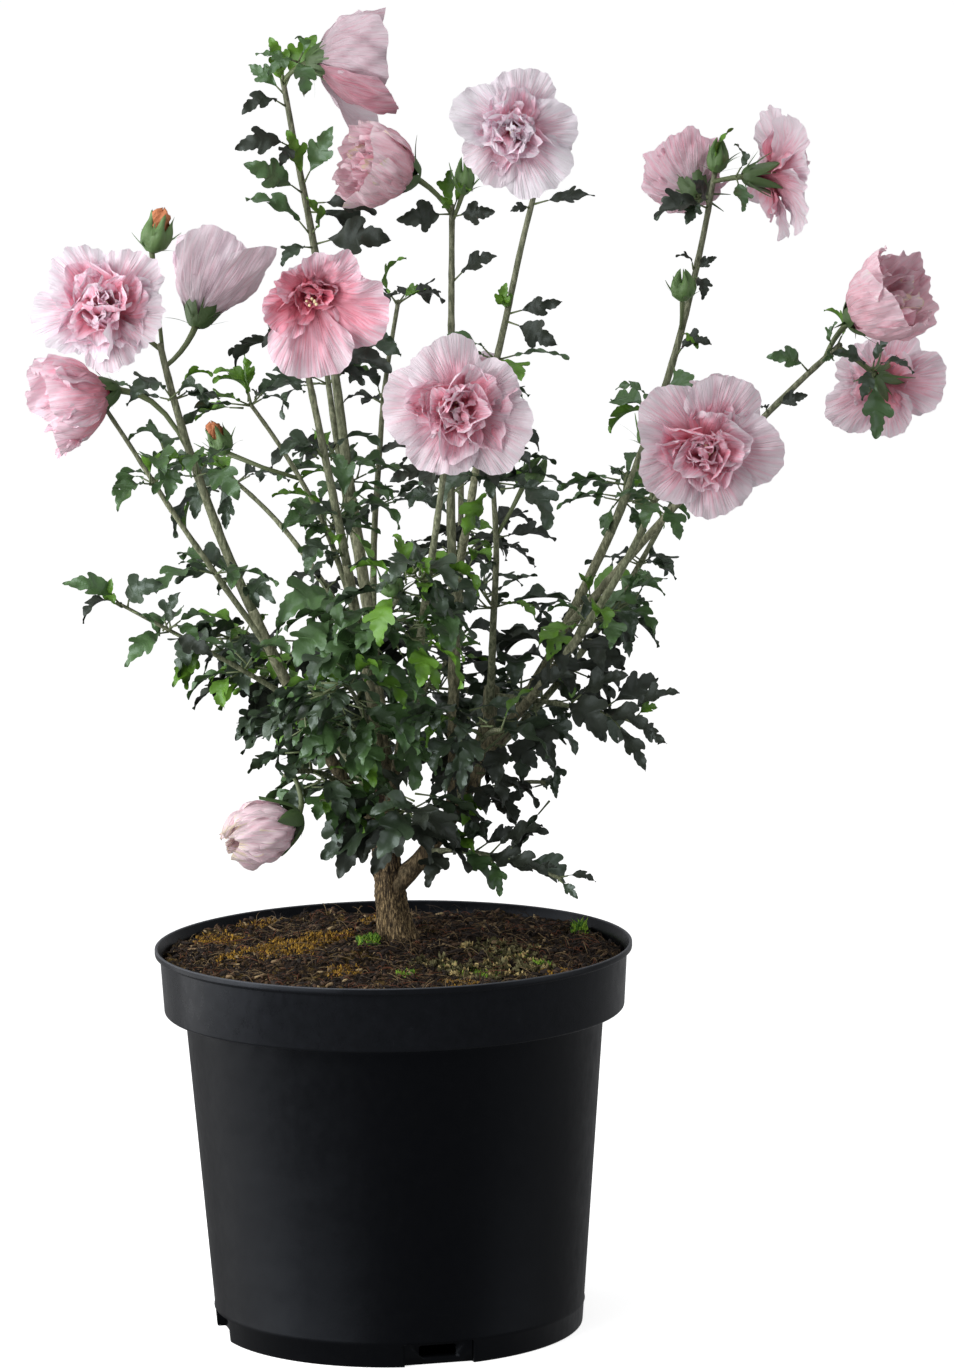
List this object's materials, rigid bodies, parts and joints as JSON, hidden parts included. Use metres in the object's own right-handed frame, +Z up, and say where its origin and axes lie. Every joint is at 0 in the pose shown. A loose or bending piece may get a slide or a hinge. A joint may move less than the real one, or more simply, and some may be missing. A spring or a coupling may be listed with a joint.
{
  "type": "rose of sharon in a nursery pot",
  "caption": "Young rose of sharon shrub with double pink flowers and lobed green leaves on upright branches, standing in a round black nursery pot filled with compost.",
  "frame": {"origin": "centre of the flat underside of the pot, on the ground", "axes": "+Z up, -Y towards the side the plant is seen from, +X to that view's right"},
  "size_m": [0.5374, 0.3334, 0.7736],
  "materials": {
    "pot_plastic": "satin moulded black plastic",
    "compost": "moist bark and peat compost with patches of moss",
    "bark": "furrowed grey-brown bark",
    "foliage": "satin green leaves on thin green-brown stems",
    "petals": "soft pink pleated petals"
  },
  "bodies": {
    "root": {"pot": "pot_plastic", "soil": "compost", "trunk": "bark", "bough_right_limb": "bark", "bough_left_thick": "bark", "bough_top_left": "bark", "bough_mid_left": "bark", "bough_front_centre": "bark", "bough_centre_tall": "bark", "bough_bloom_stem": "bark", "bough_right_inner": "bark", "bough_right_tall": "bark", "bough_far_right": "bark", "bloom_top_left": "petals", "bloom_upper_mid": "petals", "bloom_top_mid": "petals", "bloom_left": "petals", "bloom_left_behind": "petals", "bloom_mid_left": "petals", "bloom_low_left": "petals", "bloom_centre": "petals", "bloom_right": "petals", "bloom_right_behind": "petals", "bloom_top_right": "petals", "bloom_far_right_up": "petals", "bloom_far_right_low": "petals", "bloom_lowest": "petals", "bloom_back_centre": "petals", "bloom_back_right": "petals", "bloom_back_left": "petals", "shoot_left_thick": "foliage", "shoot_top_left": "foliage", "shoot_mid_left": "foliage", "shoot_front_centre": "foliage", "shoot_centre_tall": "foliage", "shoot_bloom_stem": "foliage", "shoot_right_inner": "foliage", "shoot_right_tall": "foliage", "shoot_far_right": "foliage", "shoot_left_outer": "foliage", "shoot_low_left": "foliage", "shoot_left_inner": "foliage", "shoot_left_back": "foliage", "shoot_centre_back": "foliage", "shoot_right_centre": "foliage", "shoot_low_right": "foliage", "shoot_right_low": "foliage", "shoot_back_left": "foliage", "shoot_back_centre": "foliage", "shoot_back_right": "foliage", "crown_front": "foliage", "crown_front_high": "foliage", "crown_front_left": "foliage", "crown_left": "foliage", "crown_low_front": "foliage", "crown_front_right": "foliage", "crown_right": "foliage", "crown_right_low": "foliage", "crown_back": "foliage", "crown_back_left": "foliage"}
  },
  "joints": []
}
